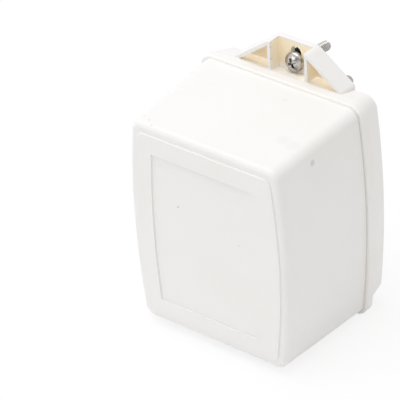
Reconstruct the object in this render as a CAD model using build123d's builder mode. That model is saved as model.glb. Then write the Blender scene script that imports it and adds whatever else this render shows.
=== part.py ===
from build123d import *
import os
from math import cos, sin, sqrt, tan, radians

# Plug-in AC transformer: a white moulded case with two line blades, a mounting tab with a
# captive screw on top, and a laminated transformer inside.
# Millimetres. The origin lies on the wall face, midway between the two blades.
# +X is to the right seen from the front, +Y goes into the wall, +Z is up.

# Case
case_top_z = 13.3           # front shell's top at the seam, above the blades
case_height = 80.0          # front shell at the seam, top to bottom
case_width = 62.3           # front shell at the seam, corner to corner
side_bow = 2.5              # how far each side bulges beyond its corners
bow_end = 8.0               # straight stretch from each corner to the bow
case_corner = 3.9
case_depth = 53.5           # wall face to the raised front panel
seam_depth = 11.6           # wall face to the seam
side_draft = 3.05           # degrees
top_draft = 3.2
bottom_draft = 1.0
front_edge_round = 2.0      # rounding between the front and the sides
shell_wall = 2.2

# Front panel
panel_raise = 0.6
panel_side_margin = 2.2
panel_top_margin = 3.2
panel_bottom_margin = 3.0
panel_corner = 3.3
panel_edge_bevel = 0.2
recess_depth = 0.6
recess_side_margin = 10.05  # from the case's width at the seam
recess_bow = 1.2
recess_top_margin = 12.6    # below the case's top
recess_bottom_margin = 10.0

# Rear base: a lip at the seam, then a band that tapers to the wall
lip_side = 1.15             # how far the lip stands out beyond the shell
lip_top = 1.25
lip_depth = 3.4
lip_front_bevel = 0.4
lip_back_bevel = 0.2
band_step = 0.3             # step from the lip down to the band
band_draft = 13.0           # degrees, top and sides
band_floor_rise = 3.9       # underside of the band, above the case's bottom
band_floor_corner = 2.5
wall_edge_bevel = 0.6
back_wall = 2.5
tongue_wall = 1.4           # rim that enters the front shell
tongue_length = 3.0
tongue_clearance = 0.25
floor_wall = 2.2

# Mounting tab on top of the rear base
tab_depth = 7.2
tab_rise = 11.1             # above the case's top
tab_top_half = 7.8
tab_foot_half = 21.8        # where the slopes end
tab_foot_rise = 0.7         # above the case's top
tab_plate = 2.2
tab_skin = 1.2              # the sloped walls
tab_rib = 1.1
tab_rib_inner = 6.9         # from the middle to each rib's inner face
tab_corner_round = 4.5
tab_foot_round = 1.5
slot_width = 4.2
slot_length = 7.2
slot_below_tab_top = 1.9

# Captive mounting screw, loose in its slot, so its tip droops
thread_radius = 1.75
screw_length = 18.2
screw_droop = 8.5           # degrees
neck_radius = 1.3           # plain shank through the slot and the retainer
neck_behind_retainer = 0.4
head_radius = 3.55
head_height = 2.2
head_bevel = 1.2
head_break = 0.35           # second bevel on each edge of the first
drive_width = 1.1
drive_depth = 1.2
drive_cross_length = 4.2
drive_turn = 30.0           # degrees round the screw's axis
screw_tip_chamfer = 0.7
retainer_radius = 4.0
retainer_thickness = 0.6
seat_gap = 0.02             # between parts that touch at one point

# Line blades
blade_spacing = 12.7
blade_thickness = 1.52
blade_height = 6.35
blade_length = 19.6
blade_tip_length = 1.7      # of the slope at each corner of the tip
blade_tip_height = 2.6
blade_tip_bevel = 0.45
blade_hole_radius = 1.6
blade_hole_from_wall = 11.7
blade_shoulder = 1.2        # how far the inner shoulder stands out above and below
blade_shoulder_depth = 1.2
blade_tail_length = 3.0
blade_tail_height = 4.4
blade_fit = 0.02            # clearance around a blade in its slot
boss_depth = 3.0
boss_margin = 1.7

# Laminated core: E pieces and I pieces, centre leg along X
core_end_gap = 6.15         # from the tongue's inner face to the core, above and below
core_side_gap = 2.3         # left and right
core_back = 13.6            # wall face to the core's rear face
strap_thickness = 0.8
strap_width = 12.0
strap_corner = 1.6

# Bobbin with two winding sections side by side
bobbin_clearance = 0.2
bobbin_wall = 1.0
bobbin_end_gap = 0.2
flange_gap = 2.3            # from a flange to the back wall
winding_gap = 1.2           # from a winding to the outer leg
flange_over_winding = 1.0   # front and rear
winding_corner = 2.0
tape_thickness = 0.25

# Thermal fuse and leads
fuse_radius = 1.95
fuse_room = 4.3             # of the primary section, beside the fuse's case
fuse_stub_radius = 0.45
fuse_stub_length = 1.6
fuse_shift = 1.1            # from the middle of the primary section, away from the flange
lead_radius = 0.8
lead_post_gap = 1.7         # from the left lead to the post beside it
primary_lead_inset = 0.9    # from the middle flange
lead_on_secondary_y = 9.6   # from the wall face
secondary_lead_inset = 2.5  # left lead, from the middle flange
secondary_lead_end = 1.4    # right lead, from the end flange
lead_on_tail = 3.4          # above the terminal floor
lead_slant = 5.0            # height over which a lead slants towards its tail

# Screw terminals under the band
terminal_inset = 19.15       # from the case's width at the seam to each terminal
terminal_from_wall = 4.6
terminal_plate_x = 8.5
terminal_plate_y = 6.6
terminal_plate_z = 1.0
terminal_tail_thickness = 0.8
terminal_tail_width = 4.0
terminal_tail_height = 6.0  # above the floor, inside
clamp_x = 7.2
clamp_y = 6.4
clamp_z = 0.8
terminal_thread_radius = 1.75
terminal_thread_length = 6.35
terminal_head_radius = 3.2
terminal_head_height = 2.1
terminal_head_bevel = 0.6
terminal_bore_clearance = 0.2
terminal_drive_width = 0.9
terminal_drive_length = 3.8
terminal_drive_depth = 1.0
barrier_thickness = 1.6
barrier_drop = 4.6

# Supports inside the case
post_width = 3.0
post_height = 7.0
post_from_core_side = 1.5
sheet_thickness = 0.4
sheet_margin = 2.0          # from the core's sides
sheet_height = 9.0

case_mid_z = case_top_z - case_height / 2
shell_front = case_depth - panel_raise
shell_rise = shell_front - seam_depth
band_depth = seam_depth - lip_depth
tongue_inset = shell_wall + tongue_clearance
cavity_inset = tongue_inset + tongue_wall
recess_half_width = case_width / 2 - recess_side_margin
recess_top = case_height / 2 - recess_top_margin
recess_bottom = recess_bottom_margin - case_height / 2
band_floor = band_floor_rise - case_height / 2
terminal_spacing = case_width - 2 * terminal_inset
tab_top = case_height / 2 + tab_rise
tab_foot_height = case_height / 2 + tab_foot_rise
slot_top = tab_top - slot_below_tab_top
slot_bottom = slot_top - slot_length
# the core fills the cavity but for its gaps, with as much room in front of it as behind
core_width = case_width - 2 * (cavity_inset + core_side_gap)
core_length = case_height - 2 * (cavity_inset + core_end_gap)
# standard E and I pieces, cut without waste: centre leg, yoke and outer legs follow the length
core_leg = core_length / 3
core_yoke = core_leg / 2
core_stack = shell_front - shell_wall - core_back - (core_back - back_wall)
core_middle = core_back + core_stack / 2


def face_plane(depth):
    # a plane parallel to the wall, depth millimetres in front of it, looking outwards
    return Plane(origin=(0, -depth, case_mid_z), x_dir=(1, 0, 0), z_dir=(0, -1, 0))


def level_plane(height, upward=1):
    # a horizontal plane, its height measured from the case's middle
    return Plane(origin=(0, 0, case_mid_z + height), x_dir=(1, 0, 0), z_dir=(0, 0, upward))


def barrel(depth, half_width, top, bottom, bow, corner):
    # outline with a flat top and bottom; each side is a bow between two straights
    middle = (top + bottom) / 2
    arc_half = (top - bottom) / 2 - bow_end
    bow_radius = arc_half * (arc_half / 2 + bow_end) / bow
    arc_run = sqrt(bow_radius**2 - arc_half**2)
    arc_x = half_width + bow_end * arc_half / arc_run
    belly_x = arc_x + bow_radius - arc_run
    arc_top = middle + arc_half
    arc_bottom = middle - arc_half
    with BuildSketch(face_plane(depth)) as outline:
        with BuildLine():
            Polyline((-arc_x, arc_bottom), (-half_width, bottom), (half_width, bottom), (arc_x, arc_bottom))
            ThreePointArc((arc_x, arc_bottom), (belly_x, middle), (arc_x, arc_top))
            Polyline((arc_x, arc_top), (half_width, top), (-half_width, top), (-arc_x, arc_top))
            ThreePointArc((-arc_x, arc_top), (-belly_x, middle), (-arc_x, arc_bottom))
        make_face()
        if corner > 0:
            fillet(outline.vertices().sort_by(Axis.Y)[0:2], corner)
            fillet(outline.vertices().sort_by(Axis.Y)[-2:], corner)
    return outline.sketch


def case_outline(depth, inset, corner=0):
    # the case's outline at the seam, inset from the front shell's outer face
    half_height = case_height / 2 - inset
    return barrel(depth, case_width / 2 - inset, half_height, -half_height, side_bow, corner)


def drafted_shell(inset, length):
    # the front shell's body: the outline at the seam pulled forwards, its faces leaning inwards
    seam_plane = face_plane(seam_depth)
    with BuildPart() as body:
        extrude(case_outline(seam_depth, inset), amount=length)
        side_faces = [face for face in body.faces() if abs(face.center().X) > case_width / 4]
        draft(side_faces, seam_plane, side_draft)
        draft(body.faces().sort_by(Axis.Z)[-1], seam_plane, top_draft)
        draft(body.faces().sort_by(Axis.Z)[0], seam_plane, bottom_draft)
        corner_edges = [
            edge
            for edge in body.edges()
            if abs(edge.center().Z - case_mid_z) > case_height / 2 - bow_end / 2
            and abs(edge.center().X) > case_width / 4
            and edge.length > length / 2
        ]
        fillet(corner_edges, case_corner - inset)
    return body.part


# Front shell: drafted barrel box with a raised panel and a shallow label recess
front_side_inset = shell_rise * tan(radians(side_draft))
front_top_inset = shell_rise * tan(radians(top_draft))
front_bottom_inset = shell_rise * tan(radians(bottom_draft))
panel_outline = barrel(
    shell_front,
    case_width / 2 - front_side_inset - panel_side_margin,
    case_height / 2 - front_top_inset - panel_top_margin,
    -case_height / 2 + front_bottom_inset + panel_bottom_margin,
    side_bow,
    panel_corner,
)
recess_outline = barrel(case_depth, recess_half_width, recess_top, recess_bottom, recess_bow, 0)
front_post_z = core_length / 2 - post_height / 2
post_x = core_width / 2 - post_from_core_side - post_width / 2

with BuildPart() as front_shell:
    add(drafted_shell(0, shell_rise))
    fillet(front_shell.faces().sort_by(Axis.Y)[0].edges(), front_edge_round)
    extrude(panel_outline, amount=panel_raise)
    chamfer(front_shell.faces().sort_by(Axis.Y)[0].edges(), panel_edge_bevel)
    extrude(recess_outline, amount=-recess_depth, mode=Mode.SUBTRACT)
    add(drafted_shell(shell_wall, shell_rise - shell_wall), mode=Mode.SUBTRACT)
    # four posts that press on the core's front face
    with BuildSketch(face_plane(core_back + core_stack)) as front_posts:
        with GridLocations(2 * post_x, 2 * front_post_z, 2, 2):
            Rectangle(post_width, post_height)
    extrude(amount=shell_front - shell_wall / 2 - core_back - core_stack)
front_shell.part.label = "front_shell"

# Mounting tab: a sloped gusset with three pockets, open to the front
tab_slope = (tab_top - tab_foot_height) / (tab_foot_half - tab_top_half)
cavity_top = case_height / 2 - cavity_inset
tab_root = cavity_top + 1.0     # inside the band's top wall
skin_drop = tab_skin * sqrt(1 + tab_slope ** 2)
rib_outer = tab_rib_inner + tab_rib
pocket_top = tab_top - (rib_outer - tab_top_half) * tab_slope - skin_drop
pocket_far = rib_outer + (pocket_top - tab_root) / tab_slope

with BuildPart() as tab:
    with BuildSketch(face_plane(0)):
        with BuildLine():
            Polyline(
                (-tab_foot_half, tab_root),
                (-tab_foot_half, tab_foot_height),
                (-tab_top_half, tab_top),
                (tab_top_half, tab_top),
                (tab_foot_half, tab_foot_height),
                (tab_foot_half, tab_root),
                close=True,
            )
        make_face()
    extrude(amount=tab_depth)
    fillet(tab.edges().filter_by(Axis.Y).sort_by(Axis.Z)[-2:], tab_corner_round)
    fillet(tab.edges().filter_by(Axis.Y).sort_by(Axis.Z)[2:4], tab_foot_round)
    with BuildSketch(face_plane(tab_plate)):
        with BuildLine():
            Polyline((rib_outer, tab_root), (rib_outer, pocket_top), (pocket_far, tab_root), close=True)
        make_face()
        mirror(about=Plane.YZ)
        with Locations((0, tab_root + tab_top / 2)):
            Rectangle(2 * tab_rib_inner, tab_top)
    extrude(amount=tab_depth, mode=Mode.SUBTRACT)

# The rear base's band: tapers from the lip to the wall, cut off at its terminal floor
band_top = case_height / 2 + lip_top - band_step
band_corner = case_corner + lip_side - band_step
with BuildPart() as band:
    extrude(
        barrel(
            band_depth, case_width / 2 + lip_side - band_step, band_top, -band_top, side_bow, 0
        ),
        amount=-band_depth,
    )
    band_sides = [face for face in band.faces() if abs(face.center().X) > case_width / 4]
    draft(band_sides, face_plane(band_depth), -band_draft)
    draft(band.faces().sort_by(Axis.Z)[-1], face_plane(band_depth), -band_draft)
    with BuildSketch(level_plane(band_floor, -1)):
        Rectangle(2 * case_width, 4 * band_depth)
    extrude(amount=case_height, mode=Mode.SUBTRACT)
    long_edges = [
        edge
        for edge in band.edges()
        if edge.length > band_depth * 0.9 and abs(edge.center().Y + band_depth / 2) < band_depth / 4
    ]
    floor_edges = [edge for edge in long_edges if edge.center().Z < case_mid_z + band_floor + 1]
    top_edges = [edge for edge in long_edges if edge.center().Z > case_mid_z + case_height / 2 - 2]
    fillet(top_edges, band_corner)
    fillet(floor_edges, band_floor_corner)

# Rear base: lip, tapered band, back wall, tongue, tab, blade bosses, posts and terminal floor
slot_middle = (slot_top + slot_bottom) / 2
cavity_floor = band_floor + floor_wall
blade_level = -case_mid_z       # the blades' height above the case's middle
rear_post_z = core_length / 2 - post_height / 2
tail_x = terminal_spacing / 2 - terminal_plate_x / 2 + terminal_tail_thickness / 2
barrier_length = band_depth - wall_edge_bevel
lip_half_height = case_height / 2 + lip_top
tongue_corner = case_corner - tongue_inset
inner_corner = 0.8

with BuildPart() as rear_base:
    extrude(
        barrel(
            seam_depth,
            case_width / 2 + lip_side,
            lip_half_height,
            -lip_half_height,
            side_bow,
            case_corner + lip_side,
        ),
        amount=-lip_depth,
    )
    chamfer(rear_base.faces().sort_by(Axis.Y)[-1].edges(), lip_back_bevel)
    chamfer(rear_base.faces().sort_by(Axis.Y)[0].edges(), lip_front_bevel)
    add(band.part)
    wall_edges = [
        edge
        for edge in rear_base.faces().sort_by(Axis.Y)[-1].edges()
        if edge.center().Z < case_mid_z + case_height / 2 - band_corner
    ]
    chamfer(wall_edges, wall_edge_bevel)
    add(tab.part)
    # inside: a cavity above the terminal floor, a wider one at the lip
    with BuildPart(mode=Mode.PRIVATE) as cavity:
        extrude(case_outline(back_wall, cavity_inset, inner_corner), amount=seam_depth)
        with BuildSketch(level_plane(cavity_floor, -1)):
            Rectangle(2 * case_width, 4 * seam_depth)
        extrude(amount=case_height, mode=Mode.SUBTRACT)
    add(cavity.part, mode=Mode.SUBTRACT)
    extrude(
        case_outline(seam_depth, cavity_inset, inner_corner),
        amount=-lip_depth + floor_wall,
        mode=Mode.SUBTRACT,
    )
    # tongue inside the front shell
    extrude(case_outline(seam_depth, tongue_inset, tongue_corner), amount=tongue_length)
    extrude(
        case_outline(seam_depth, cavity_inset, inner_corner),
        amount=tongue_length,
        mode=Mode.SUBTRACT,
    )
    # screw slot
    with BuildSketch(face_plane(0)):
        with Locations((0, slot_middle)):
            SlotOverall(slot_length, slot_width, rotation=90)
    extrude(amount=tab_plate, mode=Mode.SUBTRACT)
    # bosses and slots for the blades
    with BuildSketch(face_plane(back_wall)):
        with Locations((-blade_spacing / 2, blade_level), (blade_spacing / 2, blade_level)):
            Rectangle(blade_thickness + 2 * boss_margin, blade_height + 2 * boss_margin)
    extrude(amount=boss_depth)
    with BuildSketch(face_plane(0)):
        with Locations((-blade_spacing / 2, blade_level), (blade_spacing / 2, blade_level)):
            Rectangle(blade_thickness + 2 * blade_fit, blade_height + 2 * blade_fit)
    extrude(amount=back_wall + boss_depth, mode=Mode.SUBTRACT)
    # four posts that press on the core's rear face, the upper two through the insulating sheet
    with BuildSketch(face_plane(back_wall)):
        with Locations((-post_x, -rear_post_z), (post_x, -rear_post_z)):
            Rectangle(post_width, post_height)
    extrude(amount=core_back - back_wall)
    with BuildSketch(face_plane(back_wall)):
        with Locations((-post_x, rear_post_z), (post_x, rear_post_z)):
            Rectangle(post_width, post_height)
    extrude(amount=core_back - sheet_thickness - back_wall)
    # terminal floor: screw bores, tail slots and the barrier between the two terminals
    with BuildSketch(level_plane(band_floor)):
        with Locations((0, -terminal_from_wall)):
            with GridLocations(terminal_spacing, 0, 2, 1):
                Circle(terminal_thread_radius + terminal_bore_clearance)
        with Locations((-tail_x, -terminal_from_wall), (tail_x, -terminal_from_wall)):
            Rectangle(terminal_tail_thickness + 2 * blade_fit, terminal_tail_width + 2 * blade_fit)
    extrude(amount=floor_wall, mode=Mode.SUBTRACT)
    with BuildSketch(level_plane(band_floor, -1)):
        with Locations((0, band_depth - barrier_length / 2)):
            Rectangle(barrier_thickness, barrier_length)
    extrude(amount=barrier_drop)
rear_base.part.label = "rear_base"

# Captive mounting screw: its neck lies on the slot's lower edge, its head leans on the tab
droop = radians(screw_droop)
screw_axis_z = case_mid_z + slot_bottom + seat_gap + neck_radius / cos(droop)
head_seat_depth = tab_plate + seat_gap + head_radius * sin(droop)
screw_plane = Plane(
    origin=(0, -head_seat_depth, screw_axis_z + head_seat_depth * tan(droop)),
    x_dir=(1, 0, 0),
    z_dir=(0, -cos(droop), sin(droop)),
)
# the retainer's lower edge touches the back of the tab
retainer_offset = (retainer_radius * sin(droop) + seat_gap + head_seat_depth) / cos(droop)
neck_length = retainer_offset + retainer_thickness + neck_behind_retainer
with BuildPart() as mounting_screw:
    with BuildSketch(screw_plane):
        Circle(head_radius)
    extrude(amount=head_height)
    chamfer(mounting_screw.edges().sort_by(Axis.Y)[0], head_bevel)
    bevel_rims = mounting_screw.edges().filter_by(GeomType.CIRCLE).sort_by(Axis.Y)[0:2]
    chamfer(bevel_rims, head_break)
    with BuildSketch(screw_plane.offset(head_height)):
        Rectangle(drive_cross_length, drive_width, rotation=drive_turn)
        Rectangle(drive_width, drive_cross_length, rotation=drive_turn)
    extrude(amount=-drive_depth, mode=Mode.SUBTRACT)
    with BuildSketch(screw_plane):
        Circle(neck_radius)
    extrude(amount=-neck_length)
    with BuildSketch(screw_plane.offset(-neck_length)):
        Circle(thread_radius)
    extrude(amount=-screw_length + neck_length)
    chamfer(mounting_screw.edges().sort_by(Axis.Y)[-1], screw_tip_chamfer)
mounting_screw.part.label = "mounting_screw"

# Retainer: a washer on the screw's neck, behind the tab
with BuildPart() as screw_retainer:
    with BuildSketch(screw_plane.offset(-retainer_offset)):
        Circle(retainer_radius)
        Circle(neck_radius + seat_gap, mode=Mode.SUBTRACT)
    extrude(amount=-retainer_thickness)
screw_retainer.part.label = "screw_retainer"

# Line blades
boss_face = back_wall + boss_depth
blade_tail_start = boss_face + blade_shoulder_depth
blade_tail_middle = blade_tail_start + blade_tail_length / 2


def blade_outline(middle_x):
    # seen from the side: tail, shoulder, then the blade with its hole
    shoulder_half = blade_height / 2 + blade_shoulder
    with BuildSketch(Plane(origin=(middle_x, 0, 0), x_dir=(0, 1, 0), z_dir=(1, 0, 0))) as outline:
        with Locations(((blade_length - boss_face) / 2, 0)):
            Rectangle(blade_length + boss_face, blade_height)
        with BuildLine(mode=Mode.PRIVATE) as tip_slope:
            Polyline(
                (blade_length, blade_height / 2),
                (blade_length - blade_tip_length, blade_height / 2),
                (blade_length, blade_height / 2 - blade_tip_height),
                close=True,
            )
        tip_corner = make_face(tip_slope.edges(), mode=Mode.SUBTRACT)
        mirror(tip_corner, about=Plane.XZ, mode=Mode.SUBTRACT)
        with Locations((-boss_face - blade_shoulder_depth / 2, 0)):
            Rectangle(blade_shoulder_depth, 2 * shoulder_half)
        with Locations((-blade_tail_middle, 0)):
            Rectangle(blade_tail_length, blade_tail_height)
        with Locations((blade_hole_from_wall, 0)):
            Circle(blade_hole_radius, mode=Mode.SUBTRACT)
    return outline.sketch


with BuildPart() as left_blade:
    extrude(blade_outline(-blade_spacing / 2), amount=blade_thickness / 2, both=True)
    blade_tip = left_blade.faces().sort_by(Axis.Y)[-1]
    chamfer(blade_tip.edges().filter_by(Axis.Z), blade_tip_bevel)
left_blade.part.label = "left_blade"

with BuildPart() as right_blade:
    extrude(blade_outline(blade_spacing / 2), amount=blade_thickness / 2, both=True)
    blade_tip = right_blade.faces().sort_by(Axis.Y)[-1]
    chamfer(blade_tip.edges().filter_by(Axis.Z), blade_tip_bevel)
right_blade.part.label = "right_blade"

# Core: E pieces with the yoke on the left, I pieces across the legs on the right
window_length = core_width - 2 * core_yoke
window_height = (core_length - core_leg) / 2 - core_yoke
window_middle_z = core_leg / 2 + window_height / 2
leg_end = core_width / 2 - core_yoke

with BuildPart() as e_laminations:
    with BuildSketch(face_plane(core_back)):
        with Locations((-core_width / 2 + (core_width - core_yoke) / 2, 0)):
            Rectangle(core_width - core_yoke, core_length)
        with Locations((0, -window_middle_z), (0, window_middle_z)):
            Rectangle(window_length, window_height, mode=Mode.SUBTRACT)
    extrude(amount=core_stack)
e_laminations.part.label = "e_laminations"

with BuildPart() as i_laminations:
    with BuildSketch(face_plane(core_back)):
        with Locations((leg_end + core_yoke / 2, 0)):
            Rectangle(core_yoke, core_length)
    extrude(amount=core_stack)
i_laminations.part.label = "i_laminations"

with BuildPart() as core_strap:
    with BuildSketch(face_plane(core_middle - strap_width / 2)):
        RectangleRounded(
            core_width + 2 * strap_thickness, core_length + 2 * strap_thickness, strap_corner
        )
        Rectangle(core_width, core_length, mode=Mode.SUBTRACT)
    extrude(amount=strap_width)
core_strap.part.label = "core_strap"

# Bobbin: a tube on the centre leg with a flange at each end and one in the middle
tube_inner_z = core_leg / 2 + bobbin_clearance
tube_inner_y = core_stack / 2 + bobbin_clearance
tube_z = tube_inner_z + bobbin_wall
tube_y = tube_inner_y + bobbin_wall
flange_z = core_leg / 2 + window_height - bobbin_end_gap - bobbin_wall / 10
flange_y = core_stack / 2 + core_back - back_wall - flange_gap
bobbin_half_length = window_length / 2 - bobbin_end_gap
section_length = bobbin_half_length - 1.5 * bobbin_wall
section_middle = (section_length + bobbin_wall) / 2
core_centre_plane = Plane(
    origin=(0, -core_middle, case_mid_z), x_dir=(0, 1, 0), z_dir=(1, 0, 0)
)
flange_offsets = (
    -bobbin_half_length + bobbin_wall / 2,
    0,
    bobbin_half_length - bobbin_wall / 2,
)

with BuildPart() as bobbin:
    with BuildSketch(core_centre_plane):
        Rectangle(2 * tube_y, 2 * tube_z)
    extrude(amount=bobbin_half_length, both=True)
    for flange_offset in flange_offsets:
        with BuildSketch(core_centre_plane.offset(flange_offset)):
            RectangleRounded(2 * flange_y, 2 * flange_z, winding_corner)
        extrude(amount=bobbin_wall / 2, both=True)
    with BuildSketch(core_centre_plane):
        Rectangle(2 * tube_inner_y, 2 * tube_inner_z)
    extrude(amount=bobbin_half_length, both=True, mode=Mode.SUBTRACT)
bobbin.part.label = "bobbin"

# Windings and the tape round each
winding_z = core_leg / 2 + window_height - winding_gap
winding_y = flange_y - flange_over_winding
tape_z = winding_z + tape_thickness
tape_y = winding_y + tape_thickness

with BuildPart() as primary_winding:
    with BuildSketch(core_centre_plane.offset(-section_middle)):
        RectangleRounded(2 * winding_y, 2 * winding_z, winding_corner)
        Rectangle(2 * tube_y, 2 * tube_z, mode=Mode.SUBTRACT)
    extrude(amount=section_length / 2, both=True)
primary_winding.part.label = "primary_winding"

with BuildPart() as secondary_winding:
    with BuildSketch(core_centre_plane.offset(section_middle)):
        RectangleRounded(2 * winding_y, 2 * winding_z, winding_corner)
        Rectangle(2 * tube_y, 2 * tube_z, mode=Mode.SUBTRACT)
    extrude(amount=section_length / 2, both=True)
secondary_winding.part.label = "secondary_winding"

with BuildPart() as primary_tape:
    with BuildSketch(core_centre_plane.offset(-section_middle)):
        RectangleRounded(2 * tape_y, 2 * tape_z, winding_corner + tape_thickness)
        RectangleRounded(2 * winding_y, 2 * winding_z, winding_corner, mode=Mode.SUBTRACT)
    extrude(amount=section_length / 2, both=True)
primary_tape.part.label = "primary_tape"

with BuildPart() as secondary_tape:
    with BuildSketch(core_centre_plane.offset(section_middle)):
        RectangleRounded(2 * tape_y, 2 * tape_z, winding_corner + tape_thickness)
        RectangleRounded(2 * winding_y, 2 * winding_z, winding_corner, mode=Mode.SUBTRACT)
    extrude(amount=section_length / 2, both=True)
secondary_tape.part.label = "secondary_tape"

# Thermal fuse lying on the primary tape, its right stub bent down to the tape
tape_top = case_mid_z + tape_z
fuse_axis_z = tape_top + fuse_radius
fuse_length = section_length - fuse_room
fuse_left = -section_middle - fuse_shift - fuse_length / 2
fuse_right = fuse_left + fuse_length
fuse_left_end = fuse_left - fuse_stub_length
fuse_start_plane = Plane(
    origin=(fuse_left, -blade_tail_middle, fuse_axis_z), x_dir=(0, 1, 0), z_dir=(1, 0, 0)
)
bent_stub_x = fuse_right + fuse_stub_length / 2

with BuildPart() as thermal_fuse:
    with BuildSketch(fuse_start_plane):
        Circle(fuse_radius)
    extrude(amount=fuse_length)
    with BuildSketch(fuse_start_plane):
        Circle(fuse_stub_radius)
    extrude(amount=-fuse_stub_length)
    with BuildLine() as bent_stub:
        Polyline(
            (fuse_right, -blade_tail_middle, fuse_axis_z),
            (bent_stub_x, -blade_tail_middle, fuse_axis_z),
            (bent_stub_x, -blade_tail_middle, tape_top),
        )
    with BuildSketch(fuse_start_plane.offset(fuse_length)):
        Circle(fuse_stub_radius)
    sweep(path=bent_stub.wire(), transition=Transition.RIGHT)
thermal_fuse.part.label = "thermal_fuse"

# Leads
blade_side = blade_spacing / 2 + blade_thickness / 2
blade_inner_side = blade_spacing / 2 - blade_thickness / 2
lead_loop = post_x - post_width / 2 - lead_post_gap - lead_radius
lead_on_primary_x = -bobbin_wall / 2 - primary_lead_inset
lead_on_secondary_left = bobbin_wall / 2 + secondary_lead_inset
lead_on_secondary_right = bobbin_half_length - bobbin_wall - secondary_lead_end


def lead(points, start_plane):
    # a round lead along straight runs
    with BuildPart() as wire:
        with BuildLine() as path:
            Polyline(*points)
        with BuildSketch(start_plane):
            Circle(lead_radius)
        sweep(path=path.wire(), transition=Transition.RIGHT)
    return wire.part


with BuildPart() as primary_lead_left:
    left_tail = (-blade_side, -blade_tail_middle, 0)
    loop_top = (-lead_loop, -blade_tail_middle, 0)
    loop_bottom = (-lead_loop, -blade_tail_middle, fuse_axis_z)
    fuse_stub_end = (fuse_left_end, -blade_tail_middle, fuse_axis_z)
    add(
        lead(
            (left_tail, loop_top, loop_bottom, fuse_stub_end),
            Plane(origin=left_tail, z_dir=(-1, 0, 0)),
        )
    )
primary_lead_left.part.label = "primary_lead_left"

with BuildPart() as primary_lead_right:
    right_tail = (blade_inner_side, -blade_tail_middle, 0)
    over_tape = (lead_on_primary_x, -blade_tail_middle, 0)
    on_tape = (lead_on_primary_x, -blade_tail_middle, tape_top)
    add(lead((right_tail, over_tape, on_tape), Plane(origin=right_tail, z_dir=(-1, 0, 0))))
primary_lead_right.part.label = "primary_lead_right"

tape_bottom = case_mid_z - tape_z
tail_inner_face = tail_x - terminal_tail_thickness / 2
tail_outer_face = tail_x + terminal_tail_thickness / 2
tail_lead_z = case_mid_z + cavity_floor + lead_on_tail


def secondary_lead(start_x, tail_face_x):
    # down from the secondary tape, slanting towards the wall, then across to a terminal's tail
    start = (start_x, -lead_on_secondary_y, tape_bottom)
    return lead(
        (
            start,
            (start_x, -lead_on_secondary_y, tail_lead_z + lead_slant),
            (start_x, -terminal_from_wall, tail_lead_z),
            (tail_face_x, -terminal_from_wall, tail_lead_z),
        ),
        Plane(origin=start, z_dir=(0, 0, -1)),
    )


with BuildPart() as secondary_lead_left:
    add(secondary_lead(lead_on_secondary_left, -tail_inner_face))
secondary_lead_left.part.label = "secondary_lead_left"

with BuildPart() as secondary_lead_right:
    add(secondary_lead(lead_on_secondary_right, tail_outer_face))
secondary_lead_right.part.label = "secondary_lead_right"

# Insulating sheet on the core's rear face, behind the blades
with BuildPart() as insulating_sheet:
    with BuildSketch(face_plane(core_back)):
        with Locations((0, core_length / 2 - sheet_height / 2)):
            Rectangle(core_width - 2 * sheet_margin, sheet_height)
    extrude(amount=-sheet_thickness)
insulating_sheet.part.label = "insulating_sheet"


# Screw terminals: plate with a tail through the floor, clamp washer, screw from below
def terminal_plate(side):
    # side is -1 for the left terminal and 1 for the right one
    centre_x = side * terminal_spacing / 2
    with BuildPart() as plate:
        with BuildSketch(level_plane(band_floor, -1)):
            with Locations((centre_x, terminal_from_wall)):
                Rectangle(terminal_plate_x, terminal_plate_y)
        extrude(amount=terminal_plate_z)
        with BuildSketch(level_plane(band_floor)):
            with Locations((side * tail_x, -terminal_from_wall)):
                Rectangle(terminal_tail_thickness, terminal_tail_width)
        extrude(amount=floor_wall + terminal_tail_height)
        with BuildSketch(level_plane(band_floor, -1)):
            with Locations((centre_x, terminal_from_wall)):
                Circle(terminal_thread_radius + seat_gap)
        extrude(amount=terminal_plate_z, mode=Mode.SUBTRACT)
    return plate.part


def terminal_clamp(side):
    with BuildPart() as clamp:
        with BuildSketch(level_plane(band_floor - terminal_plate_z, -1)):
            with Locations((side * terminal_spacing / 2, terminal_from_wall)):
                Rectangle(clamp_x, clamp_y)
                Circle(terminal_thread_radius + terminal_bore_clearance, mode=Mode.SUBTRACT)
        extrude(amount=clamp_z)
    return clamp.part


def terminal_screw(side):
    seat = band_floor - terminal_plate_z - clamp_z
    with BuildPart() as screw:
        with Locations((side * terminal_spacing / 2, -terminal_from_wall, case_mid_z + seat)):
            Cylinder(
                terminal_head_radius,
                terminal_head_height,
                align=(Align.CENTER, Align.CENTER, Align.MAX),
            )
            chamfer(screw.edges().sort_by(Axis.Z)[0], terminal_head_bevel)
            Cylinder(
                terminal_thread_radius,
                terminal_thread_length,
                align=(Align.CENTER, Align.CENTER, Align.MIN),
            )
        with BuildSketch(level_plane(seat - terminal_head_height)):
            with Locations((side * terminal_spacing / 2, -terminal_from_wall)):
                Rectangle(terminal_drive_length, terminal_drive_width)
                Rectangle(terminal_drive_width, terminal_drive_length)
        extrude(amount=terminal_drive_depth, mode=Mode.SUBTRACT)
    return screw.part


with BuildPart() as terminal_plate_left:
    add(terminal_plate(-1))
terminal_plate_left.part.label = "terminal_plate_left"

with BuildPart() as terminal_plate_right:
    add(terminal_plate(1))
terminal_plate_right.part.label = "terminal_plate_right"

with BuildPart() as terminal_clamp_left:
    add(terminal_clamp(-1))
terminal_clamp_left.part.label = "terminal_clamp_left"

with BuildPart() as terminal_clamp_right:
    add(terminal_clamp(1))
terminal_clamp_right.part.label = "terminal_clamp_right"

with BuildPart() as terminal_screw_left:
    add(terminal_screw(-1))
terminal_screw_left.part.label = "terminal_screw_left"

with BuildPart() as terminal_screw_right:
    add(terminal_screw(1))
terminal_screw_right.part.label = "terminal_screw_right"

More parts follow.
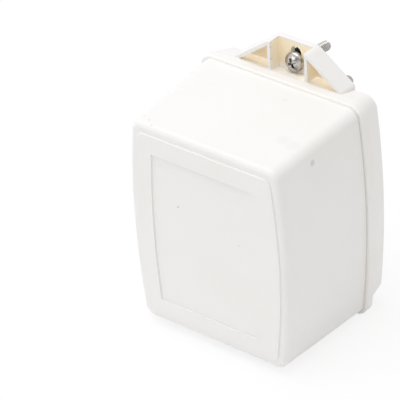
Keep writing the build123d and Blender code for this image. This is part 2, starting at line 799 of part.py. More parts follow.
os.makedirs("parts", exist_ok=True)
export_step(front_shell.part, "parts/front_shell.step")
export_step(rear_base.part, "parts/rear_base.step")
export_step(mounting_screw.part, "parts/mounting_screw.step")
export_step(screw_retainer.part, "parts/screw_retainer.step")
export_step(left_blade.part, "parts/left_blade.step")
export_step(right_blade.part, "parts/right_blade.step")
export_step(e_laminations.part, "parts/e_laminations.step")
export_step(i_laminations.part, "parts/i_laminations.step")
export_step(core_strap.part, "parts/core_strap.step")
export_step(bobbin.part, "parts/bobbin.step")
export_step(primary_winding.part, "parts/primary_winding.step")
export_step(secondary_winding.part, "parts/secondary_winding.step")
export_step(primary_tape.part, "parts/primary_tape.step")
export_step(secondary_tape.part, "parts/secondary_tape.step")
export_step(thermal_fuse.part, "parts/thermal_fuse.step")
export_step(primary_lead_left.part, "parts/primary_lead_left.step")
export_step(primary_lead_right.part, "parts/primary_lead_right.step")
export_step(secondary_lead_left.part, "parts/secondary_lead_left.step")
export_step(secondary_lead_right.part, "parts/secondary_lead_right.step")
export_step(insulating_sheet.part, "parts/insulating_sheet.step")
export_step(terminal_plate_left.part, "parts/terminal_plate_left.step")
export_step(terminal_plate_right.part, "parts/terminal_plate_right.step")
export_step(terminal_clamp_left.part, "parts/terminal_clamp_left.step")
export_step(terminal_clamp_right.part, "parts/terminal_clamp_right.step")
export_step(terminal_screw_left.part, "parts/terminal_screw_left.step")
export_step(terminal_screw_right.part, "parts/terminal_screw_right.step")
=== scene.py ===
import bpy
import bmesh
from math import cos, sin, tan, pi, radians
from mathutils import Matrix, Vector


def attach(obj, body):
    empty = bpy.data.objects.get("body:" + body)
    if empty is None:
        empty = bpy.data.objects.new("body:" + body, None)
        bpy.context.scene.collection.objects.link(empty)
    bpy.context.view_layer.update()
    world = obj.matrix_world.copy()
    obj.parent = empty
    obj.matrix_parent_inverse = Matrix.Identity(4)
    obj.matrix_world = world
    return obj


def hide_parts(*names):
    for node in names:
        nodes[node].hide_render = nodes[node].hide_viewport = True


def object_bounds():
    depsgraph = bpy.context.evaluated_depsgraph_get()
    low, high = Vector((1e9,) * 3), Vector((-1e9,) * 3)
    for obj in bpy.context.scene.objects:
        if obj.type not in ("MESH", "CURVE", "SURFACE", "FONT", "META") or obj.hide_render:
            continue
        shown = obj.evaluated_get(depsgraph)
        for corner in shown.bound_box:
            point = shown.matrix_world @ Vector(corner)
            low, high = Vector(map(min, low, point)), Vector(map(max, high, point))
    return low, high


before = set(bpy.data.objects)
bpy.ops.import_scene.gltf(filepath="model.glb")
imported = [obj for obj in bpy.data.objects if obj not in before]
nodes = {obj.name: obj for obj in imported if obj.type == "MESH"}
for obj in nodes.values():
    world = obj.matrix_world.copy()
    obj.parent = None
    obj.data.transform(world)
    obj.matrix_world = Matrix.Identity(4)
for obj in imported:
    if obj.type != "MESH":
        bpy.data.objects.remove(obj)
cad_low, cad_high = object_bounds()
scene = bpy.context.scene

MM = 0.001
WHITE = (1.0, 1.0, 1.0, 1.0)

# Camera, from the fit of the case to the photo's edges
CASE_MIDDLE_Z = -26.7 * MM
CASE_DEPTH = 53.55 * MM
CAMERA_TURN = radians(40.03)
CAMERA_RISE = radians(33.82)
CAMERA_ROLL = radians(-3.62)
CAMERA_DISTANCE = 936.58 * MM
CAMERA_LENS = 256.04
CAMERA_SENSOR = 36.0
CAMERA_CLIP = (0.01, 20.0)
AIM_RIGHT = -18.61 * MM
AIM_UP = 2.30 * MM


def place_camera():
    back = Vector((
        sin(CAMERA_TURN) * cos(CAMERA_RISE),
        -cos(CAMERA_TURN) * cos(CAMERA_RISE),
        sin(CAMERA_RISE),
    ))
    level_right = Vector((cos(CAMERA_TURN), sin(CAMERA_TURN), 0))
    level_up = back.cross(level_right)
    right = level_right * cos(CAMERA_ROLL) + level_up * sin(CAMERA_ROLL)
    up = level_up * cos(CAMERA_ROLL) - level_right * sin(CAMERA_ROLL)
    aim = Vector((0, -CASE_DEPTH / 2, CASE_MIDDLE_Z)) + right * AIM_RIGHT + up * AIM_UP
    data = bpy.data.cameras.new("photo_camera")
    data.lens = CAMERA_LENS
    data.sensor_width = CAMERA_SENSOR
    data.clip_start, data.clip_end = CAMERA_CLIP
    camera = bpy.data.objects.new("photo_camera", data)
    turn = Matrix((right, up, back)).transposed().to_4x4()
    camera.matrix_world = Matrix.Translation(aim + back * CAMERA_DISTANCE) @ turn
    scene.collection.objects.link(camera)
    scene.camera = camera


place_camera()
scene.view_settings.view_transform = "Standard"

# Light: an even pale room with two broad lamps
ROOM_LIGHT = 0.655
ROOM_COLOUR = (1.0, 0.995, 0.99, 1.0)
LAMP_TARGET = (0, -0.03, -0.03)


def larger(tree, first, second):
    """The larger of two values, by a node in the tree."""
    made = tree.nodes.new("ShaderNodeMath")
    made.operation = "MAXIMUM"
    tree.links.new(first, made.inputs[0])
    tree.links.new(second, made.inputs[1])
    return made.outputs[0]


def shows_background(tree):
    """A mask that is 1 for the camera, and for what shiny and clear surfaces show it."""
    path = tree.nodes.new("ShaderNodeLightPath")
    mirrored = larger(tree, path.outputs["Is Glossy Ray"], path.outputs["Is Transmission Ray"])
    return larger(tree, path.outputs["Is Camera Ray"], mirrored)


def light_room():
    """The world lights the object, and is plain white where it is seen."""
    world = bpy.data.worlds.new("pale_room")
    scene.world = world
    world.use_nodes = True
    tree = world.node_tree
    tree.nodes.clear()
    output = tree.nodes.new("ShaderNodeOutputWorld")
    lit = tree.nodes.new("ShaderNodeBackground")
    lit.inputs["Color"].default_value = ROOM_COLOUR
    lit.inputs["Strength"].default_value = ROOM_LIGHT
    shown = tree.nodes.new("ShaderNodeBackground")
    shown.inputs["Color"].default_value = WHITE
    shown.inputs["Strength"].default_value = 1.0
    mix = tree.nodes.new("ShaderNodeMixShader")
    tree.links.new(shows_background(tree), mix.inputs[0])
    tree.links.new(lit.outputs[0], mix.inputs[1])
    tree.links.new(shown.outputs[0], mix.inputs[2])
    tree.links.new(mix.outputs[0], output.inputs["Surface"])


def add_lamp(name, place, size, watts, colour):
    data = bpy.data.lights.new(name, "AREA")
    data.shape = "SQUARE"
    data.size = size
    data.energy = watts
    data.color = colour
    lamp = bpy.data.objects.new(name, data)
    back = (Vector(place) - Vector(LAMP_TARGET)).normalized()
    lamp.rotation_euler = back.to_track_quat("Z", "Y").to_euler()
    lamp.location = place
    scene.collection.objects.link(lamp)


light_room()
add_lamp("overhead_lamp", place=(-0.25, -0.15, 1.1), size=0.8, watts=6.35, colour=(0.95, 0.98, 1.0))
add_lamp("front_lamp", place=(-0.40, -0.92, 0.24), size=0.18, watts=0.5, colour=(1.0, 1.0, 1.0))

# Materials
SURFACE_IOR = 1.5
NOISE_LOW = 0.3     # nearly all of a noise lies between these
NOISE_HIGH = 0.7
EVEN = (1, 1, 1)
SPOT_EDGE = 0.5     # share of a spot's radius over which it fades


class Finish:
    """A material under construction: its node tree, its shader and its Object coordinates."""

    def __init__(self, name, colour, roughness, metallic=0.0):
        self.material = bpy.data.materials.new(name)
        self.material.use_nodes = True
        self.material.diffuse_color = (*colour, 1.0)
        self.tree = self.material.node_tree
        self.shader = self.tree.nodes["Principled BSDF"]
        self.shader.inputs["Base Color"].default_value = (*colour, 1.0)
        self.shader.inputs["Roughness"].default_value = roughness
        self.shader.inputs["Metallic"].default_value = metallic
        self.shader.inputs["IOR"].default_value = SURFACE_IOR
        self.place = self.tree.nodes.new("ShaderNodeTexCoord").outputs["Object"]
        self.height = None
        self.axes = {}

    def node(self, kind, **settings):
        made = self.tree.nodes.new(kind)
        for key, value in settings.items():
            setattr(made, key, value)
        return made

    def link(self, source, target):
        self.tree.links.new(source, target)

    def axis(self, name):
        """An Object coordinate, X, Y or Z, in metres, or ACROSS, the distance from the middle plane."""
        if not self.axes:
            parts = self.node("ShaderNodeSeparateXYZ")
            self.link(self.place, parts.inputs[0])
            self.axes = {letter: parts.outputs[letter] for letter in "XYZ"}
            self.axes["ACROSS"] = self.maths("ABSOLUTE", self.axes["X"])
        return self.axes[name]

    def noise(self, scale, detail=3.0, rough=0.5, stretch=EVEN):
        mapping = self.node("ShaderNodeMapping")
        mapping.inputs["Scale"].default_value = stretch
        self.link(self.place, mapping.inputs["Vector"])
        made = self.node("ShaderNodeTexNoise")
        made.inputs["Scale"].default_value = scale
        made.inputs["Detail"].default_value = detail
        made.inputs["Roughness"].default_value = rough
        self.link(mapping.outputs[0], made.inputs["Vector"])
        return made.outputs["Fac"]

    def wave(self, direction, period):
        """Even bands across one axis, a period in millimetres apart."""
        made = self.node("ShaderNodeTexWave", wave_type="BANDS", bands_direction=direction)
        made.inputs["Scale"].default_value = 2 * pi / (20 * (period * MM))
        self.link(self.place, made.inputs["Vector"])
        return made.outputs["Fac"]

    def ramp(self, source, low, high, first=0.0, last=1.0):
        made = self.node("ShaderNodeMapRange", clamp=True)
        made.inputs["From Min"].default_value = low
        made.inputs["From Max"].default_value = high
        made.inputs["To Min"].default_value = first
        made.inputs["To Max"].default_value = last
        self.link(source, made.inputs["Value"])
        return made.outputs["Result"]

    def maths(self, operation, first, second=0.0):
        made = self.node("ShaderNodeMath", operation=operation)
        for socket, value in zip(made.inputs, (first, second)):
            if isinstance(value, (int, float)):
                socket.default_value = value
            else:
                self.link(value, socket)
        return made.outputs[0]

    def product(self, *masks):
        total = masks[0]
        for mask in masks[1:]:
            total = self.maths("MULTIPLY", total, mask)
        return total

    def fade(self, source, low, high, first, last):
        """A ramp between two places in millimetres, with the amount at each."""
        return self.ramp(source, low * MM, high * MM, first, last)

    def region(self, *fades):
        """The product of fades, each an axis, two places along it and the amount at each."""
        return self.product(*(self.fade(self.axis(name), *limits) for name, *limits in fades))

    def near(self, spot, radius):
        """A mask that is 1 close to a spot, given in millimetres."""
        made = self.node("ShaderNodeVectorMath", operation="DISTANCE")
        self.link(self.place, made.inputs[0])
        made.inputs[1].default_value = [value * MM for value in spot]
        return self.fade(made.outputs["Value"], radius * (1 - SPOT_EDGE), radius, 1.0, 0.0)

    def tint(self, colour, amount):
        """Blends the base colour towards another by a mask."""
        mix = self.node("ShaderNodeMix", data_type="RGBA", blend_type="MIX")
        base = self.shader.inputs["Base Color"]
        if base.is_linked:
            self.link(base.links[0].from_socket, mix.inputs[6])
        else:
            mix.inputs[6].default_value = base.default_value
        mix.inputs[7].default_value = (*colour, 1.0)
        self.link(amount, mix.inputs[0])
        self.link(mix.outputs[2], base)

    def bump(self, source, height, strength):
        """Raises the surface by a mask, on top of the bumps before it; the height is in millimetres."""
        made = self.node("ShaderNodeBump")
        made.inputs["Distance"].default_value = height * MM
        made.inputs["Strength"].default_value = strength
        self.link(source, made.inputs["Height"])
        if self.height is not None:
            self.link(self.height, made.inputs["Normal"])
        self.height = made.outputs["Normal"]
        self.link(self.height, self.shader.inputs["Normal"])

    def blotch(self, colour, start, full, amount=1.0, **noise):
        """Tints the surface where a noise lies above a start."""
        self.tint(colour, self.ramp(self.noise(**noise), start, full, 0.0, amount))

    def roughen(self, smooth, dull, **noise):
        """Varies the roughness between two values by a noise."""
        varied = self.ramp(self.noise(**noise), NOISE_LOW, NOISE_HIGH, smooth, dull)
        self.link(varied, self.shader.inputs["Roughness"])

    def grain(self, height, strength, **noise):
        self.bump(self.noise(**noise), height, strength)


def wear(finish, *names):
    """Gives CAD nodes a material."""
    for name in names:
        mesh = nodes[name].data
        mesh.materials.clear()
        mesh.materials.append(finish.material)


# Housing: warm white moulded plastic
CASE_COLOUR = (0.90, 0.885, 0.87)
BASE_COLOUR = (0.90, 0.88, 0.86)
WARM_SHARE = (0.985, 0.965, 0.93)
# Painted warm shade in the tab's hollows
SHADE_TAN = (0.91, 0.79, 0.57)
# Painted glow: colour of the emission in the tab's hollows and along the lip
GLOW = (1.0, 0.91, 0.74)
# Painted shade: the grey of the shadows in the seam and under the label recess's top edge
PAINTED_SHADE = (0.44, 0.40, 0.37)
SPECK = (0.22, 0.21, 0.21)

# Places on the housing in millimetres, as in the CAD
SEAM_DEPTH = 11.6
RECESS_TOP_Z = 0.7
TAB_TOP_Z = 24.4
TAB_TOP_HALF = 7.8      # half of the tab's level top
TAB_SLOPE = 0.743       # fall of the sloped skins to each side
TAB_FRONT = 7.2
TAB_PLATE = 2.2
SLOT_BOTTOM_Z = 15.3

# Fades: an axis, two places along it in millimetres and the amount at each
# Painted shade in the seam gap between shell and base, on the sides only
SEAM_SHADE = (
    ("Y", -(SEAM_DEPTH + 0.6), -(SEAM_DEPTH + 0.2), 0.0, 1.0),
    ("ACROSS", 28.0, 31.0, 0.0, 0.5),
)
# Painted shadow: a thin line on the recess floor under its top edge
RECESS_SHADOW_LINE = (
    ("Y", -53.3, -53.1, 0.0, 1.0),
    ("Y", -52.8, -52.6, 1.0, 0.0),
    ("Z", RECESS_TOP_Z - 0.8, RECESS_TOP_Z - 0.3, 0.0, 1.0),
    ("Z", RECESS_TOP_Z + 0.1, RECESS_TOP_Z + 0.2, 1.0, 0.0),
    ("X", 16.0, 20.5, 0.5, 0.0),
    ("X", -21.6, -21.2, 0.0, 1.0),
)
HOLLOW_MOUTH = ("Y", -TAB_FRONT, -(TAB_FRONT - 0.7), 0.0, 0.6)
HOLLOW_DEPTH = ("Y", -TAB_FRONT, -TAB_PLATE, 0.0, 0.4)
HOLLOW_LIMITS = (
    ("Y", -0.4, -0.8, 0.0, 1.0),
    ("Z", 12.6, 13.1, 0.0, 1.0),
)
UNDER_SKIN = (0.3, 0.9, 0.0, 1.0)
# Where in the hollows the painted warm shade lies
SHADE_RISE = ("Z", 14.0, 15.5, 0.4, 1.0)
SHADE_OFF_FLOOR = ("Z", 13.35, 13.8, 0.0, 1.0)
SHADE_ASIDE = ("ACROSS", 7.0, 7.9, 0.25, 1.0)
# Painted glow: where emission lights the hollows and the lip
SIDE_GLOW = (
    ("ACROSS", 6.95, 7.4, 0.0, 1.0),
    ("Z", 13.4, 13.9, 0.30, 0.05),
    ("ACROSS", 20.5, 21.5, 1.0, 0.0),
)
MIDDLE_GLOW = ("ACROSS", 6.95, 7.4, 0.09, 0.0)
LIP_GLOW = (
    ("Y", -11.3, -11.0, 0.07, 0.0),
    ("Z", 12.4, 13.2, 0.0, 1.0),
)

# Specks and smudges in the photo: a spot and a radius in millimetres, and an amount
CASE_MARKS = (
    ((30.57, -35.69, 6.53), 1.35, 0.28),
    ((-11.58, -52.9, -16.29), 0.5, 0.4),
    ((12.93, -52.9, -22.18), 0.6, 0.12),
    ((-26.6, -48.6, 10.9), 0.6, 0.18),
    ((-23.73, -49.82, 11.16), 0.5, 0.2),
    ((-21.5, -51.6, 10.9), 0.5, 0.18),
    ((-24.6, -51.6, 10.7), 0.4, 0.15),
    ((7.25, -18.43, 12.92), 1.3, 0.05),
    ((19.94, -36.65, 11.9), 3.0, 0.05),
    ((24.5, -37.6, 11.8), 3.0, 0.05),
)
BASE_MARKS = (
    ((3.77, -6.28, 13.3), 0.45, 0.6),
    ((-6.9, -6.83, 22.34), 0.4, 0.5),
    ((-6.9, -6.85, 17.83), 0.4, 0.5),
)


def moulded_plastic(name, colour):
    finish = Finish(name, colour, 0.42)
    warm = [value * share for value, share in zip(colour, WARM_SHARE)]
    finish.blotch(warm, start=0.45, full=0.75, amount=0.5, scale=38.0)
    finish.roughen(0.38, 0.5, scale=220.0, detail=4.0)
    finish.grain(0.02, 0.5, scale=2600.0, detail=2.0)
    return finish


def tab_hollow(finish):
    """A mask of the tab's hollows, which grows from their mouth inwards."""
    inwards = finish.maths("ADD", finish.region(HOLLOW_MOUTH), finish.region(HOLLOW_DEPTH))
    outwards = finish.maths("SUBTRACT", finish.axis("ACROSS"), TAB_TOP_HALF * MM)
    fall = finish.maths("MAXIMUM", finish.maths("MULTIPLY", outwards, TAB_SLOPE), 0.0)
    skin_z = finish.maths("SUBTRACT", TAB_TOP_Z * MM, fall)
    under_skin = finish.fade(finish.maths("SUBTRACT", skin_z, finish.axis("Z")), *UNDER_SKIN)
    return finish.product(inwards, finish.region(*HOLLOW_LIMITS), under_skin)


def paint_tab_shade_and_glow(finish):
    """Painted warm shade tints the tab's hollows, and a painted glow of emission, standing in for light
    through the thin walls, lights them and the lip.
    """
    hollow = tab_hollow(finish)
    place = finish.maths("MAXIMUM", finish.region(SHADE_OFF_FLOOR), finish.region(SHADE_ASIDE))
    # Painted warm shade in the hollows
    finish.tint(SHADE_TAN, finish.product(hollow, finish.region(SHADE_RISE), place))
    # Painted glow: emission that lights the hollows and the lip
    inside = finish.maths("ADD", finish.region(*SIDE_GLOW), finish.region(MIDDLE_GLOW))
    glow = finish.maths("ADD", finish.product(hollow, inside), finish.region(*LIP_GLOW))
    finish.link(glow, finish.shader.inputs["Emission Strength"])
    finish.shader.inputs["Emission Color"].default_value = (*GLOW, 1.0)


def add_marks(finish, marks):
    total = None
    for spot, radius, amount in marks:
        mask = finish.maths("MULTIPLY", finish.near(spot, radius), amount)
        total = mask if total is None else finish.maths("MAXIMUM", total, mask)
    finish.tint(SPECK, total)


case_white = moulded_plastic("case_white", CASE_COLOUR)
# Painted shade in the seam, and painted shadow under the label recess's top edge
case_white.tint(PAINTED_SHADE, case_white.region(*SEAM_SHADE))
case_white.tint(PAINTED_SHADE, case_white.region(*RECESS_SHADOW_LINE))
add_marks(case_white, CASE_MARKS)
wear(case_white, "front_shell")

base_white = moulded_plastic("base_white", BASE_COLOUR)
paint_tab_shade_and_glow(base_white)
add_marks(base_white, BASE_MARKS)
wear(base_white, "rear_base")

# Plated metal of the screws, clamps and blades
# Stain colour, which on the screw head also paints its dark reflections
STAIN_AND_DARK_REFLECTION = (0.06, 0.055, 0.05)
BLADE_STAIN = (0.14, 0.12, 0.10)
FRONT_STAIN_AND_REFLECTION = ("Y", 0.0, 1.0, 1.0, 0.3)

plated = Finish("nickel_plate", (0.55, 0.53, 0.505), 0.3, metallic=1.0)
plated.roughen(0.12, 0.28, scale=900.0, detail=4.0)
# Random stains, strongest in front of the tab, which also paint the screw head's dark reflections
stain_and_reflection = plated.ramp(plated.noise(scale=420.0, detail=5.0, rough=0.7), 0.49, 0.60, 0.0, 0.75)
plated.tint(STAIN_AND_DARK_REFLECTION, plated.product(stain_and_reflection, plated.region(FRONT_STAIN_AND_REFLECTION)))
plated.grain(0.06, 0.8, scale=1500.0, detail=4.0)
wear(plated, "terminal_clamp_left", "terminal_clamp_right")

blade_plate = Finish("blade_plate", (0.44, 0.41, 0.38), 0.28, metallic=1.0)
blade_plate.roughen(0.2, 0.42, scale=500.0, detail=4.0, rough=0.6, stretch=(1, 0.15, 1))
blade_plate.blotch(
    BLADE_STAIN, start=0.5, full=0.75, amount=0.8,
    scale=260.0, detail=4.0, rough=0.6, stretch=(1, 0.3, 1),
)
blade_plate.grain(0.02, 0.6, scale=1800.0, rough=0.6, stretch=(1, 0.08, 1))
wear(blade_plate, "left_blade", "right_blade")

# Screws: a domed head with a cross recess on a threaded shank, in millimetres along Z
RING_STEPS = 64
THREAD_PITCH = 0.794
THREAD_DEPTH = 0.43
THREAD_RADIUS = 1.75
STEPS_PER_PITCH = 8
RIDGE_GAIN = 1.5        # steepens the thread's flanks
RIDGE_DROP = 0.15       # widens its grooves
TIP_CHAMFER = 0.7
RIM_SHARE = 0.26        # of the head's height, under the dome
BEVEL_SHARE = 0.04      # of the head's radius, at the rim's lower edge
DOME_STEPS = 12
DOME_FULLNESS = 0.9     # power under 1, which fills out the dome
CROSS_END_TAPER = 0.62
CROSS_SIDE_TAPER = 0.7
CUTTER_RISE = 1.0
SMOOTH_BELOW = radians(38)


def thread_radius(along, angle, neck_length, length):
    """Radius of the thread at a distance under the head, with its ridge."""
    phase = (along / THREAD_PITCH - angle / (2 * pi)) % 1.0
    ridge = 1.0 - abs(2.0 * phase - 1.0)
    ridge = min(1.0, max(0.0, ridge * RIDGE_GAIN - RIDGE_DROP))
    start = min(1.0, (along - neck_length) / THREAD_PITCH)
    crest = THREAD_RADIUS - THREAD_DEPTH * (1.0 - ridge * start)
    to_tip = length - along
    return min(crest, THREAD_RADIUS - TIP_CHAMFER + to_tip)


def head_profile(radius, height):
    """From the rim of the underside up over the dome, as height and radius."""
    rim = height * RIM_SHARE
    profile = [(0.0, radius * (1 - BEVEL_SHARE)), (radius * BEVEL_SHARE, radius), (rim, radius)]
    for step in range(1, DOME_STEPS):
        turn = step / DOME_STEPS * pi / 2
        profile.append((rim + (height - rim) * sin(turn), radius * cos(turn) ** DOME_FULLNESS))
    return profile


def screw_rings(head, neck, length):
    """Heights and radii of the screw's rings from its tip up; the thread's rings have no single radius."""
    neck_length, neck_radius = neck
    rings = []
    along = length
    while along > neck_length:
        rings.append((-along, None))
        along -= THREAD_PITCH / STEPS_PER_PITCH
    if neck_length > 0:
        rings.append((-neck_length, neck_radius))
    rings.append((0.0, neck_radius))
    return rings + head_profile(*head)


def turned_mesh(name, rings, neck_length, length, head_height):
    """One closed surface through the rings."""
    shape = bmesh.new()
    loops = []
    for height, radius in rings:
        loop = []
        for index in range(RING_STEPS):
            angle = 2 * pi * index / RING_STEPS
            r = thread_radius(-height, angle, neck_length, length) if radius is None else radius
            loop.append(shape.verts.new((r * cos(angle), r * sin(angle), height)))
        loops.append(loop)
    for lower, upper in zip(loops, loops[1:]):
        for index in range(RING_STEPS):
            after = (index + 1) % RING_STEPS
            shape.faces.new((lower[index], lower[after], upper[after], upper[index]))
    tip = shape.verts.new((0, 0, rings[0][0]))
    crown = shape.verts.new((0, 0, head_height))
    for index in range(RING_STEPS):
        after = (index + 1) % RING_STEPS
        shape.faces.new((tip, loops[0][after], loops[0][index]))
        shape.faces.new((crown, loops[-1][index], loops[-1][after]))
    bmesh.ops.recalc_face_normals(shape, faces=shape.faces)
    mesh = bpy.data.meshes.new(name + "_blank")
    shape.to_mesh(mesh)
    shape.free()
    return mesh


def cross_cutter(reach, width, depth, turn, top):
    """A tapered cross that cuts the drive recess."""
    shape = bmesh.new()
    for arm in (0, pi / 2):
        made = bmesh.ops.create_cube(shape, size=1.0)
        for vert in made["verts"]:
            low = vert.co.z < 0
            x = vert.co.x * 2 * reach * (CROSS_END_TAPER if low else 1.0)
            y = vert.co.y * width * (CROSS_SIDE_TAPER if low else 1.0)
            z = top - depth if low else top + CUTTER_RISE
            vert.co = Vector((x * cos(arm) - y * sin(arm), x * sin(arm) + y * cos(arm), z))
    bmesh.ops.rotate(shape, verts=shape.verts, cent=(0, 0, 0), matrix=Matrix.Rotation(turn, 3, "Z"))
    bmesh.ops.recalc_face_normals(shape, faces=shape.faces)
    mesh = bpy.data.meshes.new("cutter")
    shape.to_mesh(mesh)
    shape.free()
    return mesh


def screw_mesh(name, head, neck, length, cross):
    """The turned screw with the recess cut from its head."""
    head_height = head[1]
    rings = screw_rings(head, neck, length)
    blank_mesh = turned_mesh(name, rings, neck[0], length, head_height)
    blank = bpy.data.objects.new(name + "_blank", blank_mesh)
    cutter = bpy.data.objects.new(name + "_cutter", cross_cutter(*cross, head_height))
    scene.collection.objects.link(blank)
    scene.collection.objects.link(cutter)
    cut = blank.modifiers.new("cut", "BOOLEAN")
    cut.operation = "DIFFERENCE"
    cut.solver = "EXACT"
    cut.use_self = True
    cut.object = cutter
    graph = bpy.context.evaluated_depsgraph_get()
    finished = bpy.data.meshes.new_from_object(blank.evaluated_get(graph))
    for helper in (blank, cutter):
        bpy.data.objects.remove(helper)
    return finished


def add_screw(name, node, mesh, turn):
    """Puts a screw made in millimetres along Z where its node is."""
    mesh.transform(turn @ Matrix.Scale(MM, 4))
    mesh.materials.clear()
    mesh.materials.append(plated.material)
    mesh.shade_smooth()
    mesh.set_sharp_from_angle(angle=SMOOTH_BELOW)
    piece = bpy.data.objects.new(name, mesh)
    scene.collection.objects.link(piece)
    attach(piece, "root")
    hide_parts(node)


# Mounting screw: head as radius and height, neck radius, cross as reach, width, depth and turn
SCREW_HEAD = (3.55, 2.2)
SCREW_NECK = 1.3
SCREW_LENGTH = 18.2
SCREW_CROSS = (2.1, 1.0, 1.3, radians(30))
SCREW_DROOP = radians(8.5)
SEAT_GAP = 0.02
RETAINER_RADIUS = 4.0
RETAINER_THICKNESS = 0.6
NECK_BEHIND = 0.4       # length of neck behind the retainer
# Painted shade in the thread's grooves
GROOVE_SHADE = (0.10, 0.085, 0.07)
GROOVE_FADE = (1.38, 1.58, 0.4, 0.0)
BEHIND_TAB = ("Y", 1.5, 2.0, 0.0, 1.0)


def shade_grooves(finish, spot, out):
    """Painted shade: darkens the thread's grooves, where the surface comes near the screw's axis."""
    from_spot = finish.node("ShaderNodeVectorMath", operation="SUBTRACT")
    finish.link(finish.place, from_spot.inputs[0])
    from_spot.inputs[1].default_value = spot
    across = finish.node("ShaderNodeVectorMath", operation="CROSS_PRODUCT")
    finish.link(from_spot.outputs[0], across.inputs[0])
    across.inputs[1].default_value = out
    away = finish.node("ShaderNodeVectorMath", operation="LENGTH")
    finish.link(across.outputs[0], away.inputs[0])
    groove = finish.fade(away.outputs["Value"], *GROOVE_FADE)
    finish.tint(GROOVE_SHADE, finish.product(groove, finish.region(BEHIND_TAB)))


def place_mounting_screw():
    """The screw hangs in the slot: neck on the slot's lower edge, head against the tab."""
    seat = TAB_PLATE + SEAT_GAP + SCREW_HEAD[0] * sin(SCREW_DROOP)
    height = SLOT_BOTTOM_Z + SEAT_GAP + SCREW_NECK / cos(SCREW_DROOP) + seat * tan(SCREW_DROOP)
    out = Vector((0, -cos(SCREW_DROOP), sin(SCREW_DROOP)))
    across = Vector((1, 0, 0))
    turn = Matrix((across, out.cross(across), out)).transposed().to_4x4()
    turn.translation = Vector((0, -seat, height)) * MM
    to_retainer = (RETAINER_RADIUS * sin(SCREW_DROOP) + SEAT_GAP + seat) / cos(SCREW_DROOP)
    neck = (to_retainer + RETAINER_THICKNESS + NECK_BEHIND, SCREW_NECK)
    mesh = screw_mesh("cover_screw", SCREW_HEAD, neck, SCREW_LENGTH, SCREW_CROSS)
    add_screw("cover_screw", "mounting_screw", mesh, turn)
    shade_grooves(plated, turn.translation, out)


place_mounting_screw()

# Terminal screws under the base, heads down, threaded up to the head
WIRE_SCREW_HEAD = (3.2, 2.1)
WIRE_SCREW_NECK = (0, THREAD_RADIUS - THREAD_DEPTH)
WIRE_SCREW_LENGTH = 6.35
WIRE_SCREW_CROSS = (1.9, 0.9, 1.1)
WIRE_SCREW_TURN = radians(20)
TERMINAL_X = 12.0
TERMINAL_DEPTH = 4.6
TERMINAL_SEAT_Z = -64.6

for side, name, node in (
    (-1, "wire_screw_left", "terminal_screw_left"),
    (1, "wire_screw_right", "terminal_screw_right"),
):
    cross = (*WIRE_SCREW_CROSS, WIRE_SCREW_TURN * side)
    turn = Matrix.Rotation(pi, 4, "X")
    turn.translation = Vector((side * TERMINAL_X, -TERMINAL_DEPTH, TERMINAL_SEAT_Z)) * MM
    mesh = screw_mesh(name, WIRE_SCREW_HEAD, WIRE_SCREW_NECK, WIRE_SCREW_LENGTH, cross)
    add_screw(name, node, mesh, turn)

# Retainer and inner pieces
LAMINATION = 0.5        # thickness of the core's sheets, in millimetres
WIRE_PITCH = 0.3        # of the windings

black_nylon = Finish("black_nylon", (0.016, 0.012, 0.014), 0.45)
black_nylon.roughen(0.4, 0.6, scale=700.0)
black_nylon.grain(0.02, 0.5, scale=1600.0)
wear(black_nylon, "screw_retainer")

core_steel = Finish("core_steel", (0.16, 0.16, 0.17), 0.45, metallic=0.85)
sheets = core_steel.wave("Y", LAMINATION)
core_steel.tint((0.05, 0.05, 0.055), core_steel.ramp(sheets, 0.75, 1.0, 0.0, 0.9))
core_steel.blotch(
    (0.24, 0.15, 0.09), start=0.62, full=0.78, amount=0.6, scale=160.0, detail=5.0, rough=0.7,
)
core_steel.bump(sheets, 0.08, 0.7)
wear(core_steel, "e_laminations", "i_laminations")

strap_black = Finish("strap_black", (0.035, 0.035, 0.04), 0.4)
strap_black.roughen(0.3, 0.5, scale=300.0, detail=4.0)
strap_black.grain(0.03, 0.5, scale=900.0)
wear(strap_black, "core_strap")

nylon = Finish("natural_nylon", (0.80, 0.77, 0.68), 0.45)
nylon.blotch((0.74, 0.69, 0.56), start=0.4, full=0.7, amount=0.6, scale=70.0)
nylon.grain(0.03, 0.5, scale=1400.0, detail=2.0)
wear(nylon, "bobbin")

copper = Finish("enamelled_copper", (0.62, 0.25, 0.10), 0.25, metallic=0.9)
turns = copper.wave("X", WIRE_PITCH)
copper.tint((0.30, 0.09, 0.03), copper.ramp(turns, 0.5, 1.0, 0.0, 0.8))
copper.bump(turns, 0.12, 0.9)
wear(copper, "primary_winding", "secondary_winding")

tape = Finish("yellow_film", (0.80, 0.58, 0.08), 0.22)
tape.blotch((0.66, 0.42, 0.04), start=0.45, full=0.7, amount=0.6, scale=90.0, stretch=(1, 0.3, 0.3))
tape.roughen(0.16, 0.34, scale=400.0)
tape.grain(0.1, 0.5, scale=260.0, stretch=(2, 0.5, 0.5))
wear(tape, "primary_tape", "secondary_tape")

fuse = Finish("fuse_case", (0.66, 0.65, 0.62), 0.3, metallic=1.0)
fuse.roughen(0.2, 0.42, scale=600.0, detail=4.0)
fuse.grain(0.02, 0.5, scale=1200.0)
wear(fuse, "thermal_fuse")

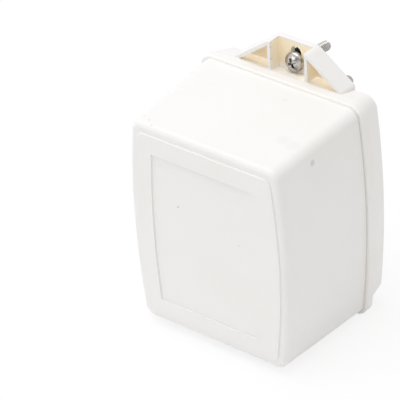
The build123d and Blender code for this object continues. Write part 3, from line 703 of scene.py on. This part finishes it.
for name, colour, leads in (
    ("black_insulation", (0.02, 0.02, 0.022), ("primary_lead_left", "primary_lead_right")),
    ("white_insulation", (0.82, 0.81, 0.77), ("secondary_lead_left", "secondary_lead_right")),
):
    insulation = Finish(name, colour, 0.45)
    insulation.roughen(0.36, 0.55, scale=500.0)
    insulation.grain(0.03, 0.5, scale=1100.0)
    wear(insulation, *leads)

fibre = Finish("grey_fibre", (0.20, 0.23, 0.24), 0.75)
fibre.blotch((0.28, 0.30, 0.30), start=0.4, full=0.7, scale=600.0, detail=5.0, rough=0.7)
fibre.grain(0.06, 0.7, scale=1800.0, detail=4.0)
wear(fibre, "insulating_sheet")

brass = Finish("plain_brass", (0.66, 0.46, 0.17), 0.3, metallic=1.0)
brass.roughen(0.2, 0.45, scale=500.0, detail=4.0, rough=0.6, stretch=(0.2, 1, 1))
brass.blotch((0.42, 0.27, 0.10), start=0.55, full=0.75, amount=0.7, scale=300.0, detail=4.0)
brass.grain(0.02, 0.5, scale=1500.0, rough=0.6, stretch=(0.2, 1, 1))
wear(brass, "terminal_plate_left", "terminal_plate_right")

# Floor: white where it is seen, with a trace of the shadow
FLOOR_HALF = 2.5
FLOOR_COLOUR = (0.995, 0.995, 0.995)
FLOOR_ROUGHNESS = 0.9
FLOOR_WHITENING = 0.8


def lay_floor():
    shape = bmesh.new()
    bmesh.ops.create_grid(shape, x_segments=1, y_segments=1, size=FLOOR_HALF)
    mesh = bpy.data.meshes.new("pale_floor")
    shape.to_mesh(mesh)
    shape.free()
    mesh.transform(Matrix.Translation((0, 0, cad_low[2])))
    floor = bpy.data.objects.new("pale_floor", mesh)
    scene.collection.objects.link(floor)
    finish = Finish("floor_white", FLOOR_COLOUR, FLOOR_ROUGHNESS)
    finish.shader.inputs["Specular IOR Level"].default_value = 0.0
    shown = finish.node("ShaderNodeEmission")
    shown.inputs["Color"].default_value = WHITE
    shown.inputs["Strength"].default_value = 1.0
    mix = finish.node("ShaderNodeMixShader")
    finish.link(finish.maths("MULTIPLY", shows_background(finish.tree), FLOOR_WHITENING), mix.inputs[0])
    finish.link(finish.shader.outputs[0], mix.inputs[1])
    finish.link(shown.outputs[0], mix.inputs[2])
    finish.link(mix.outputs[0], finish.tree.nodes["Material Output"].inputs["Surface"])
    mesh.materials.append(finish.material)


lay_floor()
